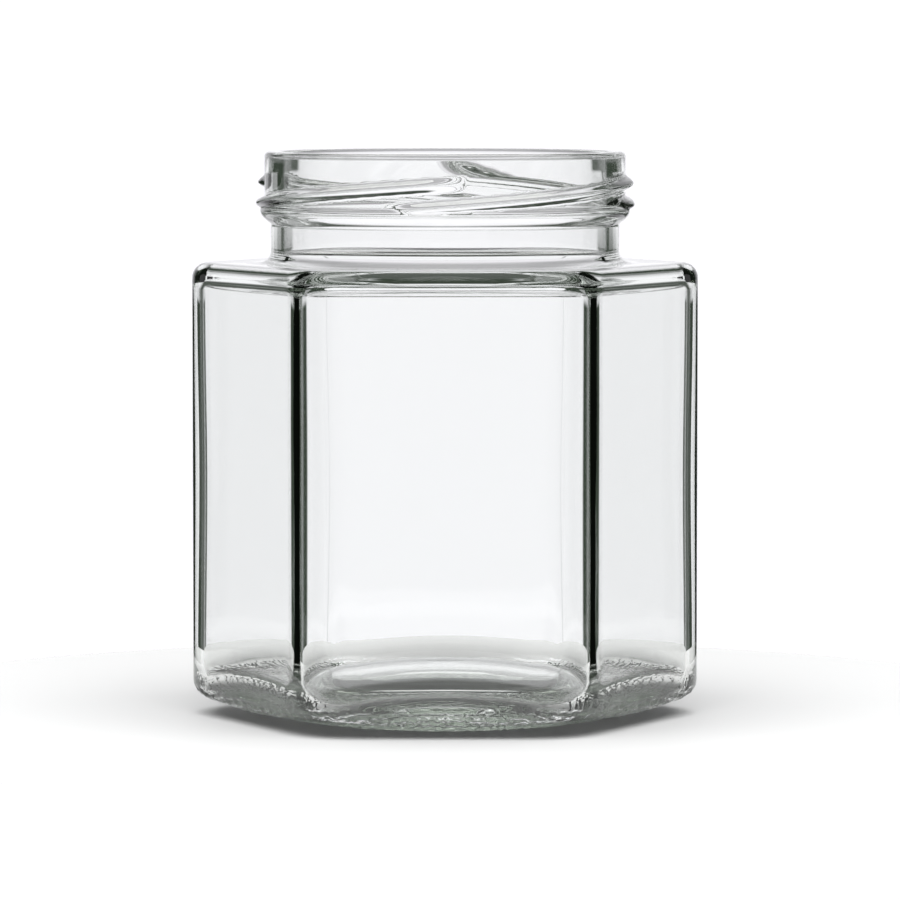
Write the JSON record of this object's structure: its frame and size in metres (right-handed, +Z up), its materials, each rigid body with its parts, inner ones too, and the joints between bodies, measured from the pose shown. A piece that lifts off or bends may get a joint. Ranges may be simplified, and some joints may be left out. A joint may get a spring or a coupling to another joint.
{
  "type": "hexagonal glass jar",
  "caption": "Empty hexagonal jar of clear glass with rounded corners, a flat shoulder, a short round neck with slanting twist-off threads, and a stippled base.",
  "frame": {"origin": "centre of the base, on the plane the jar stands on", "axes": "+Z up along the neck's axis; two flat sides face -Y and +Y, and two upright corners point along -X and +X"},
  "size_m": [0.083, 0.0752, 0.0925],
  "materials": {
    "glass": "clear fire-polished flint glass with a faint grey-green tint in its thick edges"
  },
  "bodies": {
    "root": {"jar": "glass"}
  },
  "joints": []
}
